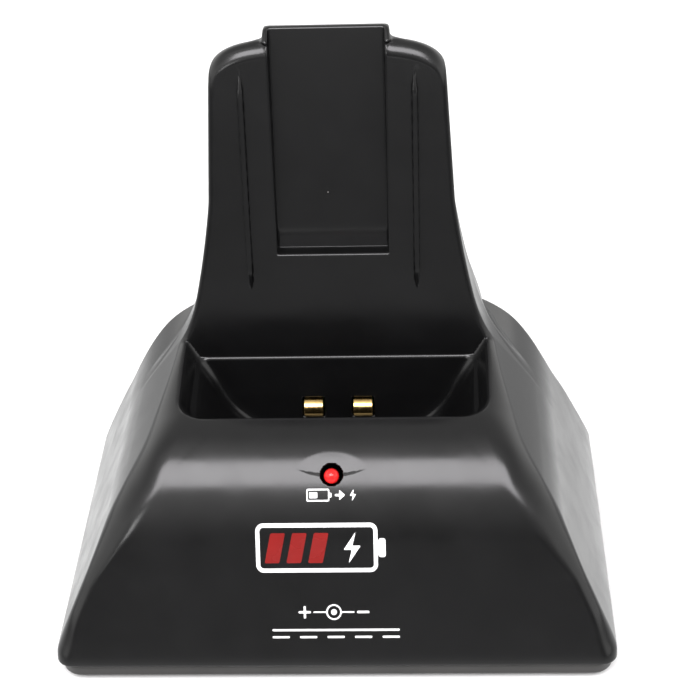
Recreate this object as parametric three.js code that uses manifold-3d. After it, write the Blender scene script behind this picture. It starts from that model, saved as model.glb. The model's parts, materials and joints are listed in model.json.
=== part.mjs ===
// Desktop charging cradle for a handheld two-way radio, modelled in millimetres, +Z up.
// X runs to the right, Y to the back, and the origin is the middle of the footprint on the table.
import * as THREE from 'three';
import { mergeVertices } from 'three/addons/utils/BufferGeometryUtils.js';
import Module from 'manifold-3d';

const wasm = await Module();
wasm.setup();

// ---------------------------------------------------------------- driving dimensions
const BASE_WIDTH = 105;
const HEIGHT = 107.2;
const PLAN_RADIUS = 4.6;
const WALL = 2.2;
const GAP = 0.3;

const COVER_BOTTOM = 0.8;
const COVER_TOP = 3.9;
const COVER_FLOOR = 2.0;
const SHELL_BASE = COVER_TOP + GAP;

const FRONT = -37.2;
const BACK = 35;
const HALF = BASE_WIDTH / 2;
const SILL = 6;
const ARCH_TOP = 49.5;
const DECK = 45.7;
const FACE_TOP = { y: -29.2, z: 26.5 };
const DECK_FRONT = { y: -10.7, z: 43.36 };

const TOWER_LEAN = Math.tan(THREE.MathUtils.degToRad(7));
const TOWER_FOOT_Y = 11;
const TOWER_FOOT_Z = 50;
const SHOULDER_FRONT_Z = 105.2;
const CREST_Y = 20.4;
const CREST_HALF = 12.1;
const HOLLOW_TOP = 100.5;
const BACK_LEAN = 0.1267;
const FLANK_DRAFT = 0.06;
const FLANK_START = 12;
const FLANK_END = 40;

const POCKET_FLOOR = 22.4;
const POCKET_RADIUS = 22;
const POCKET_HALF_FLAT = 3.3;
const POCKET_FRONT = -10.4;
const POCKET_BACK = 9.2;
const LEDGE_Z = 42.2;
const RIM_FRONT = -12.0;
const RIM_HALF = 29.9;
const RIM_RADIUS = 5.5;
const RIM_BACK_RADIUS = 1.0;
const TUB_WALL = 2.0;

const RECESS_HALF = 10.6;
const RECESS_BOTTOM = 63.8;
const RECESS_DEPTH = 2.7;
const RIB_X = 16;
const RIB_WIDTH = 1.0;
const RIB_PROUD = 0.7;
const RIB_BOTTOM = 56;
const RIB_TOP = 100.5;

const CONTACT_X = 4.9;
const CONTACT_Z = 30.4;
const CONTACT_WIDTH = 3.7;
const CONTACT_RADIUS = 2.0;
const CONTACT_PROUD = 1.8;
const LEAF = 0.35;

const LED_RADIUS = 1.5;
const LED_HOLE = 2.05;
const LED_Y = -22.46;
const LED_Z = 37.88;
const LED_TILT = THREE.MathUtils.degToRad(45);
const LED_SEAT_RADIUS = 4.6;
const LED_SEAT_DEPTH = 0.4;
const LED_TOP = 1.35;
const LED_BOTTOM = -3.4;

const POST_X = 35;
const POST_Y = [-21, 25];
const POST_RADIUS = 3.2;
const PILOT = 1.75;
const SCREW_RADIUS = 1.45;
const HEAD_TOP = 3.1;
const FOOT_X = 44.5;
const FOOT_Y = [-30, 27.8];
const FOOT_RADIUS = 4.2;
const FOOT_TOP = 2.0;

const BOARD_BOTTOM = 8.0;
const BOARD_THICK = 1.6;
const BOARD_TOP = BOARD_BOTTOM + BOARD_THICK;
const BOARD = { x: 29, front: 0, back: 29 };
const BOARD_SCREWS = [[-25, 25], [25, 25], [25, 4]];
const JACK_Z = 16.2;
const JACK_HALF = 4.5;
const JACK_BORE = 3.1;
const JACK_OPENING = 5.0;
const CONTACT_BOARD_Y = 14.0;
const CONTACT_POST = { x: 12, z: 34, radius: 2.2 };

// ---------------------------------------------------------------- helpers
const point = (x, y) => new THREE.Vector2(x, y);

// Closed mesh with merged corners, as a solid that can be joined and cut.
function solidOf(geometry) {
  const plain = geometry.clone();
  plain.deleteAttribute('normal');
  plain.deleteAttribute('uv');
  const merged = mergeVertices(plain, 1e-4);
  const mesh = new wasm.Mesh({
    numProp: 3,
    vertProperties: new Float32Array(merged.attributes.position.array),
    triVerts: new Uint32Array(merged.index.array),
  });
  return new wasm.Manifold(mesh);
}

function geometryOf(solid) {
  const mesh = solid.getMesh();
  const geometry = new THREE.BufferGeometry();
  geometry.setAttribute('position', new THREE.BufferAttribute(mesh.vertProperties, 3));
  geometry.setIndex(new THREE.BufferAttribute(mesh.triVerts, 1));
  geometry.computeVertexNormals();
  return geometry;
}

function extruded(outline, depth) {
  const shape = outline instanceof THREE.Shape ? outline : new THREE.Shape(outline);
  return new THREE.ExtrudeGeometry(shape, { depth, bevelEnabled: false, curveSegments: 8 });
}

// Prisms along the three axes; the outline is drawn in the two other axes, in their natural order.
const prismZ = (outline, low, high) => solidOf(extruded(outline, high - low).translate(0, 0, low));
const prismY = (outline, low, high) =>
  solidOf(extruded(outline, high - low).rotateX(Math.PI / 2).translate(0, high, 0));
const prismX = (outline, low, high) => {
  const cycle = new THREE.Matrix4().set(0, 0, 1, 0, 1, 0, 0, 0, 0, 1, 0, 0, 0, 0, 0, 1);
  return solidOf(extruded(outline, high - low).applyMatrix4(cycle).translate(low, 0, 0));
};

function block(x0, x1, y0, y1, z0, z1) {
  const box = new THREE.BoxGeometry(x1 - x0, y1 - y0, z1 - z0);
  return solidOf(box.translate((x0 + x1) / 2, (y0 + y1) / 2, (z0 + z1) / 2));
}

function rod(radius, low, high, x, y, segments = 20) {
  const cylinder = new THREE.CylinderGeometry(radius, radius, high - low, segments);
  return solidOf(cylinder.rotateX(Math.PI / 2).translate(x, y, (low + high) / 2));
}

function rodY(radius, low, high, x, z, segments = 24) {
  const cylinder = new THREE.CylinderGeometry(radius, radius, high - low, segments);
  return solidOf(cylinder.translate(x, (low + high) / 2, z));
}

// Right half of an outline, from its foot to its top, made whole about X = 0.
function mirrored(half) {
  const left = half.filter((p) => p.x > 1e-6).reverse().map((p) => point(-p.x, p.y));
  return [...half, ...left];
}

// Moves every edge of a closed outline inwards by the same distance.
function inset(outline, distance) {
  const turn = THREE.ShapeUtils.isClockWise(outline) ? -1 : 1;
  const count = outline.length;
  return outline.map((p, i) => {
    const before = outline[(i + count - 1) % count];
    const after = outline[(i + 1) % count];
    const a = p.clone().sub(before).normalize();
    const b = after.clone().sub(p).normalize();
    const normal = point(-(a.y + b.y), a.x + b.x).normalize().multiplyScalar(turn);
    const spread = Math.max(0.5, normal.x * -a.y * turn + normal.y * a.x * turn);
    return p.clone().addScaledVector(normal, distance / spread);
  });
}

function roundedRect(x0, x1, y0, y1, front, back = front, steps = 5) {
  const points = [];
  const corners = [[x1 - front, y0 + front, -90, front], [x1 - back, y1 - back, 0, back],
    [x0 + back, y1 - back, 90, back], [x0 + front, y0 + front, 180, front]];
  for (const [cx, cy, start, radius] of corners) {
    for (let i = 0; i <= steps; i += 1) {
      const angle = THREE.MathUtils.degToRad(start + (90 * i) / steps);
      points.push(point(cx + radius * Math.cos(angle), cy + radius * Math.sin(angle)));
    }
  }
  return points;
}

// Skin between plan outlines with equal point counts, from the lowest to the highest.
function loft(sections) {
  const count = sections[0].outline.length;
  const positions = sections.flatMap(({ outline, z }) => outline.flatMap((p) => [p.x, p.y, z]));
  const index = [];
  for (let s = 0; s + 1 < sections.length; s += 1) {
    for (let i = 0; i < count; i += 1) {
      const a = s * count + i;
      const b = s * count + ((i + 1) % count);
      index.push(a, b, a + count, b, b + count, a + count);
    }
  }
  const top = (sections.length - 1) * count;
  for (const [a, b, c] of THREE.ShapeUtils.triangulateShape(sections[0].outline, [])) {
    index.push(a, c, b);
    index.push(top + a, top + b, top + c);
  }
  const geometry = new THREE.BufferGeometry();
  geometry.setAttribute('position', new THREE.Float32BufferAttribute(positions, 3));
  geometry.setIndex(index);
  return solidOf(geometry);
}

// Round wire along a smooth curve through hand-picked points.
function wire(points, radius, sides = 8) {
  const curve = new THREE.CatmullRomCurve3(points.map((p) => new THREE.Vector3(...p)));
  const section = new THREE.Shape();
  for (let i = 0; i < sides; i += 1) {
    const angle = (2 * Math.PI * i) / sides;
    const corner = [radius * Math.cos(angle), radius * Math.sin(angle)];
    if (i === 0) section.moveTo(...corner);
    else section.lineTo(...corner);
  }
  const steps = Math.round(curve.getLength() / (4 * radius));
  return solidOf(new THREE.ExtrudeGeometry(section, { steps, extrudePath: curve, bevelEnabled: false }));
}

const towerFrontY = (z) => TOWER_FOOT_Y + TOWER_LEAN * (z - TOWER_FOOT_Z);
const backY = (z) => BACK - BACK_LEAN * (z - SILL);
const DECK_SLOPE = (DECK - DECK_FRONT.z) / (towerFrontY(DECK) - DECK_FRONT.y);

// ---------------------------------------------------------------- outer form of the housing
// Front view of the base: upright sill, leaning sides, round top.
function archOutline(floor) {
  const half = new THREE.Path();
  half.moveTo(HALF, floor);
  half.lineTo(HALF, SILL);
  half.bezierCurveTo(HALF - 2, 12, 46.2, 20, 42.8, 27.5);
  half.bezierCurveTo(37.5, 39, 26, ARCH_TOP, 0, ARCH_TOP);
  return mirrored(half.getPoints(7));
}

// Front view of the pocket's sides and the tower, whose foot flares out into the base. Towards the
// back the flanks draw in by the flank draft.
function towerOutline(floor, crest) {
  const half = new THREE.Path();
  half.moveTo(HALF, floor);
  half.lineTo(HALF, SILL);
  half.bezierCurveTo(HALF - 2, 12, 46.2, 20, 42.8, 27.5);
  half.bezierCurveTo(40.2, 33.4, 35, 39, 31, 44.6);
  half.bezierCurveTo(29.2, 47.2, 27.9, 50.3, 27, 54);
  half.bezierCurveTo(25.6, 60, 24.2, 68, 23.5, 74);
  half.lineTo(22.2, 99.0);
  half.bezierCurveTo(21.9, 102.2, 18.5, 104.3, CREST_HALF, 104.9);
  if (crest) half.lineTo(CREST_HALF, HEIGHT);
  return mirrored(half.getPoints(6));
}

// Front face, shoulder roll and deck, shared by both side views.
function frontPath(floor) {
  const path = new THREE.Path();
  path.moveTo(FRONT, floor);
  path.lineTo(FRONT, SILL - 1);
  path.lineTo(FACE_TOP.y, FACE_TOP.z);
  path.bezierCurveTo(-25.5, 36.4, -20.1, 42.3, DECK_FRONT.y, DECK_FRONT.z);
  return path;
}

function baseSide(floor) {
  const path = frontPath(floor);
  path.lineTo(towerFrontY(DECK) + 0.5, DECK + 0.1);
  path.bezierCurveTo(14.5, 46.2, 14.5, ARCH_TOP, 19, ARCH_TOP);
  path.lineTo(22, ARCH_TOP);
  path.bezierCurveTo(27.5, ARCH_TOP, backY(43) - 0.6, 47.5, backY(40), 40);
  path.lineTo(BACK, SILL);
  path.lineTo(BACK, floor);
  return path.getPoints(7);
}

function towerSide(floor, crest) {
  const path = frontPath(floor);
  path.lineTo(towerFrontY(DECK), DECK);
  if (crest) {
    path.lineTo(towerFrontY(SHOULDER_FRONT_Z), SHOULDER_FRONT_Z);
    path.lineTo(CREST_Y, HEIGHT);
    path.lineTo(backY(HEIGHT), HEIGHT);
  } else {
    path.lineTo(towerFrontY(HOLLOW_TOP), HOLLOW_TOP);
    path.lineTo(backY(HOLLOW_TOP), HOLLOW_TOP);
  }
  path.lineTo(backY(40), 40);
  path.lineTo(backY(40), floor);
  return path.getPoints(7);
}

// Plan of the tower's foot: full width beside the pocket, then drawn in behind it.
function footPlan() {
  const half = new THREE.Path();
  half.moveTo(60, 13);
  half.lineTo(45, 13);
  half.bezierCurveTo(36, 14.5, 31, 19, 29.6, 25);
  half.lineTo(28, 40);
  const right = half.getPoints(6);
  const left = right.slice().reverse().map((p) => point(-p.x, p.y));
  return [point(60, -40), ...right, ...left, point(-60, -40)];
}

function bodySolid(wall) {
  const floor = wall > 0 ? -8 : SHELL_BASE;
  const shrink = (outline) => (wall > 0 ? inset(outline, wall) : outline);
  const span = HALF + 10;
  const arch = prismY(shrink(archOutline(floor)), -60, 60);
  const lobe = arch.intersect(prismX(shrink(baseSide(floor)), -span, span));
  const face = shrink(towerOutline(floor, wall === 0));
  const drawn = face.map((p) => point(p.x - Math.sign(p.x) * FLANK_DRAFT * (FLANK_END - FLANK_START), p.y));
  const flare = loft([{ outline: drawn, z: -FLANK_END }, { outline: face, z: -FLANK_START },
    { outline: face, z: 60 }]).rotate([90, 0, 0]);
  const plan = prismZ(shrink(footPlan()), -20, 130);
  const tower = flare.intersect(prismX(shrink(towerSide(floor, wall === 0)), -span, span)).intersect(plan);
  const corners = roundedRect(wall - HALF, HALF - wall, FRONT + wall, BACK - wall, PLAN_RADIUS - wall / 2);
  return lobe.add(tower).intersect(prismZ(corners, -20, 130));
}

// ---------------------------------------------------------------- spaces cut into the housing
function pocketCavity(extra) {
  const radius = POCKET_RADIUS + extra;
  const outline = [point(POCKET_HALF_FLAT + radius, LEDGE_Z + 3)];
  for (let i = 0; i <= 12; i += 1) {
    const angle = (-Math.PI / 2) * (i / 12);
    const z = POCKET_FLOOR + POCKET_RADIUS + radius * Math.sin(angle);
    outline.push(point(POCKET_HALF_FLAT + radius * Math.cos(angle), z));
  }
  const full = [...outline.slice(1), ...outline.slice(1).reverse().map((p) => point(-p.x, p.y))];
  return prismY(full, POCKET_FRONT - extra, POCKET_BACK + extra);
}

// The widening above the ledge, drawn level and then tilted to follow the deck.
function pocketFunnel(extra) {
  const section = (half, front, z) => ({
    outline: roundedRect(-half - extra, half + extra, front - extra, towerFrontY(z) + extra,
      RIM_RADIUS, RIM_BACK_RADIUS),
    z,
  });
  const level = loft([section(POCKET_HALF_FLAT + POCKET_RADIUS, POCKET_FRONT, LEDGE_Z - extra),
    section(RIM_HALF, RIM_FRONT, DECK + 1)]);
  const drop = -DECK_SLOPE * towerFrontY(DECK);
  return level.transform([1, 0, 0, 0, 0, 1, DECK_SLOPE, 0, 0, 0, 1, 0, 0, 0, drop, 1]);
}

// Things on the tower's leaning face are drawn upright and then leaned back about its foot line.
function onTower(solid) {
  const lean = -7;
  const y = towerFrontY(0);
  return solid.rotate([lean, 0, 0]).translate([0, y, 0]);
}

const alongTower = (z) => z / Math.cos(Math.atan(TOWER_LEAN));

function recess(extra) {
  const half = RECESS_HALF + extra;
  const bottom = alongTower(RECESS_BOTTOM) - extra;
  const box = block(-half, half, extra > 0 ? 0 : -8, RECESS_DEPTH + extra, bottom, 130);
  if (extra > 0) return onTower(box);
  const lip = [point(-1, bottom + 0.7), point(0.8, bottom), point(-1, bottom - 0.5)];
  return onTower(box.add(prismX(lip, -half - 0.4, half + 0.4)));
}

function rib(x) {
  const low = alongTower(RIB_BOTTOM);
  const high = alongTower(RIB_TOP);
  const side = [point(1, low), point(0, low), point(-RIB_PROUD, low + 3), point(-RIB_PROUD, high - 2),
    point(0, high), point(1, high)];
  return onTower(prismX(side, x - RIB_WIDTH / 2, x + RIB_WIDTH / 2));
}

// Pieces on the indicator's axis are built along +Z and leaned forward onto the shoulder.
function onIndicator(solid) {
  return solid.rotate([THREE.MathUtils.radToDeg(LED_TILT), 0, 0]).translate([0, LED_Y, LED_Z]);
}

// ---------------------------------------------------------------- moulded parts
function upperHousing() {
  const outer = bodySolid(0);
  const posts = POST_Y.flatMap((y) => [-POST_X, POST_X].map((x) => rod(POST_RADIUS, 5.9, 60, x, y)));
  const { x: postX, z: postZ, radius: postRadius } = CONTACT_POST;
  const boardPosts = [-1, 1].map((side) =>
    rodY(postRadius, POCKET_BACK + 1, CONTACT_BOARD_Y - GAP, side * postX, postZ, 16));
  let inside = pocketCavity(TUB_WALL).add(pocketFunnel(TUB_WALL)).add(recess(TUB_WALL));
  for (const post of [...posts, ...boardPosts]) inside = inside.add(post);
  let shell = outer.subtract(bodySolid(WALL)).add(inside.intersect(outer));
  for (const side of [-1, 1]) shell = shell.add(rib(side * RIB_X));
  shell = shell.subtract(pocketCavity(0)).subtract(pocketFunnel(0)).subtract(recess(0));
  for (const side of [-1, 1]) {
    const x = side * CONTACT_X;
    const half = CONTACT_WIDTH / 2 + GAP;
    const tall = CONTACT_RADIUS + GAP;
    shell = shell.subtract(block(x - half, x + half, 5, 12, CONTACT_Z - tall, CONTACT_Z + tall));
    shell = shell.subtract(rodY(postRadius / 2, POCKET_BACK + 1.5, 20, side * postX, postZ, 12));
  }
  shell = shell.subtract(onIndicator(rod(LED_HOLE, -12, 6, 0, 0)));
  shell = shell.subtract(onIndicator(rod(LED_SEAT_RADIUS, -LED_SEAT_DEPTH, 6, 0, 0, 28)));
  shell = shell.subtract(rodY(JACK_OPENING, 25, 40, 0, JACK_Z));
  for (const y of POST_Y) {
    for (const x of [-POST_X, POST_X]) shell = shell.subtract(rod(PILOT, 0, 19, x, y, 14));
  }
  return shell;
}

function coverSection(edge, z) {
  return {
    outline: roundedRect(edge - HALF, HALF - edge, FRONT + edge, BACK - edge, PLAN_RADIUS - edge / 2),
    z,
  };
}

function bottomCover() {
  const outer = loft([coverSection(1.6, COVER_BOTTOM), coverSection(0.7, COVER_BOTTOM + 0.9),
    coverSection(0.4, COVER_TOP)]);
  const floorTop = COVER_BOTTOM + COVER_FLOOR;
  const lipEdge = WALL + GAP + 0.4;
  const lip = loft([coverSection(lipEdge, floorTop - 0.5), coverSection(lipEdge, COVER_TOP + 2.2)]);
  const hollow = loft([coverSection(lipEdge + 1.6, floorTop), coverSection(lipEdge + 1.6, 12)]);
  let cover = outer.add(lip).subtract(hollow);
  for (const y of POST_Y) {
    for (const x of [-POST_X, POST_X]) {
      cover = cover.add(rod(4.6, 2, 5.6, x, y));
      cover = cover.subtract(rod(3.2, 0, HEAD_TOP + GAP, x, y));
      cover = cover.subtract(rod(PILOT + 0.1, 0, 8, x, y, 14));
    }
  }
  for (const [x, y] of BOARD_SCREWS) {
    cover = cover.add(rod(2.6, 2, BOARD_BOTTOM - GAP, x, y, 16));
    cover = cover.subtract(rod(1.25, 3, 9, x, y, 12));
  }
  for (const y of FOOT_Y) {
    for (const x of [-FOOT_X, FOOT_X]) {
      cover = cover.subtract(rod(FOOT_RADIUS + GAP, 0, FOOT_TOP + GAP, x, y));
    }
  }
  return cover;
}

function rubberFoot(x, y) {
  const profile = [point(0, 0), point(FOOT_RADIUS - 0.7, 0), point(FOOT_RADIUS - 0.15, 0.3),
    point(FOOT_RADIUS, 0.8), point(FOOT_RADIUS, FOOT_TOP), point(0, FOOT_TOP)];
  return solidOf(new THREE.LatheGeometry(profile, 24).rotateX(Math.PI / 2)).translate([x, y, 0]);
}

// Pan-head screw with a cross recess; the head's outer face is at headLow, the shank points up or down.
function screw(headRadius, headHeight, shankRadius, shankLength) {
  const profile = [point(0, 0), point(headRadius * 0.7, 0), point(headRadius, headHeight * 0.45),
    point(headRadius, headHeight), point(shankRadius, headHeight),
    point(shankRadius, headHeight + shankLength - shankRadius),
    point(shankRadius * 0.3, headHeight + shankLength), point(0, headHeight + shankLength)];
  const body = solidOf(new THREE.LatheGeometry(profile, 14).rotateX(Math.PI / 2));
  const slot = headRadius * 0.55;
  const blade = headRadius * 0.14;
  const cross = block(-slot, slot, -blade, blade, -1, headHeight * 0.5)
    .add(block(-blade, blade, -slot, slot, -1, headHeight * 0.5));
  return body.subtract(cross);
}

// ---------------------------------------------------------------- contacts
// Bent leaf with a rounded nose and two shoulders that stay behind the pocket's wall.
function contactLeaf(x) {
  const back = CONTACT_BOARD_Y - GAP - 1.5;
  const centre = POCKET_BACK - CONTACT_PROUD + CONTACT_RADIUS;
  const outline = (radius, end) => {
    const points = [];
    for (let i = 0; i <= 10; i += 1) {
      const angle = Math.PI / 2 + (Math.PI * i) / 10;
      points.push(point(centre + radius * Math.cos(angle), CONTACT_Z + radius * Math.sin(angle)));
    }
    return [point(end, CONTACT_Z + radius), ...points, point(end, CONTACT_Z - radius)];
  };
  const low = x - CONTACT_WIDTH / 2;
  const high = x + CONTACT_WIDTH / 2;
  const bend = prismX(outline(CONTACT_RADIUS, back), low, high);
  const shoulder = block(low, high, back - LEAF, back, CONTACT_Z - 2.9, CONTACT_Z + 2.9);
  return bend.add(shoulder).subtract(prismX(outline(CONTACT_RADIUS - LEAF, back + 2), low - 1, high + 1));
}

function contactHolder() {
  let holder = block(-9.2, 9.2, POCKET_BACK + TUB_WALL + GAP, CONTACT_BOARD_Y - GAP, 26, 34.8);
  for (const side of [-1, 1]) {
    const x = side * CONTACT_X;
    const half = CONTACT_WIDTH / 2 + GAP;
    holder = holder.subtract(block(x - half, x + half, 8, 20, CONTACT_Z - 3.2, CONTACT_Z + 3.2));
  }
  return holder;
}

function contactTerminal(x) {
  const low = CONTACT_BOARD_Y + BOARD_THICK + GAP;
  const pad = block(x - 1.2, x + 1.2, low, low + 0.5, 28.6, 32.2);
  return pad.add(block(x - 0.5, x + 0.5, low, low + 2.2, 29.8, 30.6));
}

function contactBoard() {
  let board = block(-15, 15, CONTACT_BOARD_Y, CONTACT_BOARD_Y + BOARD_THICK, 24.5, 37.5);
  const { x, z } = CONTACT_POST;
  for (const side of [-1, 1]) board = board.subtract(rodY(1.5, 10, 20, side * x, z, 14));
  return board;
}

// ---------------------------------------------------------------- indicator
function indicatorLed() {
  const flange = LED_RADIUS + 0.35;
  const profile = [point(0, LED_BOTTOM), point(flange, LED_BOTTOM), point(flange, LED_BOTTOM + 0.8),
    point(LED_RADIUS, LED_BOTTOM + 0.8)];
  for (let i = 0; i <= 6; i += 1) {
    const angle = (Math.PI / 2) * (i / 6);
    const radius = i === 6 ? 0 : LED_RADIUS * Math.cos(angle);
    profile.push(point(radius, LED_TOP - LED_RADIUS * (1 - Math.sin(angle))));
  }
  return onIndicator(solidOf(new THREE.LatheGeometry(profile, 24).rotateX(Math.PI / 2)));
}

function indicatorLead(side) {
  const x = side * 0.9;
  return wire([[x, -19.81, 35.33], [x, -19.16, 34.58], [x, -18.66, 33.38], [x, -18.56, 31.38]], 0.25, 6);
}

// ---------------------------------------------------------------- electronics
function mainBoard() {
  let board = block(-BOARD.x, BOARD.x, BOARD.front, BOARD.back, BOARD_BOTTOM, BOARD_TOP);
  for (const [x, y] of BOARD_SCREWS) board = board.subtract(rod(1.6, 5, 12, x, y, 14));
  return board;
}

function dcJack() {
  const front = backY(JACK_Z) - WALL - 0.5;
  const body = block(-JACK_HALF, JACK_HALF, front - 14, front, BOARD_TOP + GAP, JACK_Z + 3.9);
  const collar = rodY(JACK_HALF - 0.2, front - 4, front, 0, JACK_Z);
  return body.add(collar).subtract(rodY(JACK_BORE, front - 10, front + 1, 0, JACK_Z));
}

function dcJackPin() {
  const front = backY(JACK_Z) - WALL - 0.5;
  const length = 9.2;
  const profile = [point(0, 0), point(1, 0), point(1, length - 0.8), point(0.45, length), point(0, length)];
  const pin = solidOf(new THREE.LatheGeometry(profile, 14));
  return pin.translate([0, front - 10 + GAP, JACK_Z]);
}

function canCapacitor(x, y) {
  const low = BOARD_TOP + GAP;
  const profile = [point(0, 0), point(3.6, 0), point(4, 0.5), point(4, 1.3), point(3.7, 1.7), point(4, 2.1),
    point(4, 9.6), point(3.6, 10), point(0, 10)];
  return solidOf(new THREE.LatheGeometry(profile, 24).rotateX(Math.PI / 2)).translate([x, y, low]);
}

function axialPart(radius, length, x, y) {
  const height = BOARD_TOP + GAP + radius + 0.4;
  const body = new THREE.CylinderGeometry(radius, radius, length, 14).rotateZ(Math.PI / 2);
  const legX = length / 2 + 1.6;
  const leg = [[-legX, 0, -radius - 0.4], [-legX, 0, -0.5], [-legX + 0.5, 0, 0], [legX - 0.5, 0, 0],
    [legX, 0, -0.5], [legX, 0, -radius - 0.4]];
  return solidOf(body).add(wire(leg, 0.3, 6)).translate([x, y, height]);
}

function regulator(x, y) {
  const low = BOARD_TOP + GAP;
  let part = block(-5, 5, 0, 1.3, 2.6, 10.2).add(block(-5, 5, -3.2, 1.3, 2.6, 8.2));
  for (const leg of [-2.54, 0, 2.54]) part = part.add(block(leg - 0.4, leg + 0.4, -1.6, -1.1, 0, 3));
  return part.translate([x, y, low]);
}

function chargeController(x, y) {
  const low = BOARD_TOP + GAP;
  let part = block(-3.2, 3.2, -4.9, 4.9, 0.5, 3.3);
  for (let i = 0; i < 4; i += 1) {
    const pin = -3.81 + 2.54 * i;
    for (const side of [-1, 1]) {
      part = part.add(block(side * 3.9 - 0.2, side * 3.9 + 0.2, pin - 0.5, pin + 0.5, 0, 2));
      part = part.add(block(side * 3.5 - 0.5, side * 3.5 + 0.5, pin - 0.5, pin + 0.5, 1.6, 2));
    }
  }
  return part.translate([x, y, low]);
}

function wireHeader(x, y) {
  const low = BOARD_TOP + GAP;
  const shroud = block(-3.8, 3.8, -2.6, 2.6, 0, 5.4);
  const slots = [-1.25, 1.25].map((offset) => block(offset - 0.8, offset + 0.8, -1.6, 1.6, 1.4, 7));
  return shroud.subtract(slots[0]).subtract(slots[1]).translate([x, y, low]);
}

// ---------------------------------------------------------------- assembly
const finishes = {
  case_plastic: { color: 0x1d1d1f, roughness: 0.38, metalness: 0 },
  cover_plastic: { color: 0x2a2928, roughness: 0.5, metalness: 0 },
  rubber: { color: 0x17171a, roughness: 0.9, metalness: 0 },
  screw_steel: { color: 0x8b8d90, roughness: 0.35, metalness: 1 },
  gold_contact: { color: 0xe0b050, roughness: 0.22, metalness: 1 },
  led_red: { color: 0xd0142c, roughness: 0.12, metalness: 0 },
  tinned_metal: { color: 0xc3c5c6, roughness: 0.3, metalness: 1 },
  circuit_board: { color: 0x1f5a34, roughness: 0.45, metalness: 0 },
  black_component: { color: 0x151517, roughness: 0.45, metalness: 0 },
  capacitor_sleeve: { color: 0x23304f, roughness: 0.35, metalness: 0 },
  resistor_body: { color: 0xc9a878, roughness: 0.5, metalness: 0 },
  nylon: { color: 0xe4e0d4, roughness: 0.5, metalness: 0 },
  wire_red: { color: 0xa81c1c, roughness: 0.45, metalness: 0 },
  wire_black: { color: 0x1b1b1c, roughness: 0.45, metalness: 0 },
};

// The pieces are drawn about the tower's axes; the group brings the middle of the footprint to the origin.
const group = new THREE.Group();
group.name = 'charging_cradle';
group.position.y = -(FRONT + BACK) / 2;

function place(name, solid, finish) {
  const mesh = new THREE.Mesh(geometryOf(solid), new THREE.MeshStandardMaterial(finishes[finish]));
  mesh.name = name;
  group.add(mesh);
}

place('upper_housing', upperHousing(), 'case_plastic');
place('bottom_cover', bottomCover(), 'cover_plastic');

const corners = [['front_left', -1, 0], ['front_right', 1, 0], ['rear_left', -1, 1], ['rear_right', 1, 1]];
for (const [corner, side, row] of corners) {
  const caseScrew = screw(2.8, HEAD_TOP - 1.4, SCREW_RADIUS, 13);
  place(`case_screw_${corner}`, caseScrew.translate([side * POST_X, POST_Y[row], 1.4]), 'screw_steel');
  place(`rubber_foot_${corner}`, rubberFoot(side * FOOT_X, FOOT_Y[row]), 'rubber');
}

place('main_board', mainBoard(), 'circuit_board');
BOARD_SCREWS.forEach(([x, y], i) => {
  const boardScrew = screw(2.3, 1.4, 0.95, 5).rotate([180, 0, 0]);
  place(`board_screw_${i + 1}`, boardScrew.translate([x, y, BOARD_TOP + GAP + 1.4]), 'screw_steel');
});
place('dc_jack', dcJack(), 'black_component');
place('dc_jack_pin', dcJackPin(), 'tinned_metal');
place('filter_capacitor', canCapacitor(-17, 20), 'capacitor_sleeve');
place('regulator', regulator(16, 24), 'black_component');
place('charge_controller', chargeController(2, 6), 'black_component');
place('rectifier_diode', axialPart(1.35, 5, -17, 11.5), 'black_component');
place('sense_resistor', axialPart(1.2, 6.5, 15.5, 14), 'resistor_body');
place('led_resistor', axialPart(0.9, 4, 15.5, 9.5), 'resistor_body');
place('led_header', wireHeader(-20, 4), 'nylon');
place('contact_header', wireHeader(-8, 13.5), 'nylon');

place('contact_board', contactBoard(), 'circuit_board');
place('contact_holder', contactHolder(), 'black_component');
for (const [name, side] of [['left', -1], ['right', 1]]) {
  place(`contact_${name}`, contactLeaf(side * CONTACT_X), 'gold_contact');
  place(`contact_terminal_${name}`, contactTerminal(side * CONTACT_X), 'tinned_metal');
  const holderScrew = screw(1.9, 1.2, 0.8, 4.2).rotate([90, 0, 0]);
  const head = CONTACT_BOARD_Y + BOARD_THICK + GAP + 1.2;
  place(`contact_board_screw_${name}`, holderScrew.translate([side * 12, head, 34]), 'screw_steel');
}

place('indicator_led', indicatorLed(), 'led_red');
const wireKinds = [['positive', -1, 'wire_red'], ['negative', 1, 'wire_black']];
for (const [sign, side, finish] of wireKinds) {
  place(`led_lead_${sign}`, indicatorLead(side), 'tinned_metal');
  const pinX = -20 + side * 1.25;
  const ledRoute = [[side * 0.9, -18.56, 30.98], [side * 1.2, -18.8, 26], [side * 1.6 - 2, -18.8, 18.5],
    [side * 1.6 - 10, -14, 14.5], [side * 1.5 - 17, -3, 17.5], [pinX, 3.6, 17.2], [pinX, 4, 15],
    [pinX, 4, 12.2]];
  place(`led_wire_${sign}`, wire(ledRoute, 0.55), finish);
  const headerX = -8 + side * 1.25;
  const contactRoute = [[side * CONTACT_X, 18.6, 30.2], [side * CONTACT_X, 20.6, 28.5],
    [side * 4.2 - 1.5, 20.4, 24.5], [headerX + side * 0.2, 16, 20.5], [headerX, 13.6, 17.5],
    [headerX, 13.5, 15], [headerX, 13.5, 12.2]];
  place(`contact_wire_${sign}`, wire(contactRoute, 0.55), finish);
}

export default group;
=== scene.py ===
"""Looks of a desktop charging cradle for a handheld radio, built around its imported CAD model."""
import json
import math

import bmesh
import bpy
import numpy as np
from mathutils import Matrix, Vector


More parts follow.
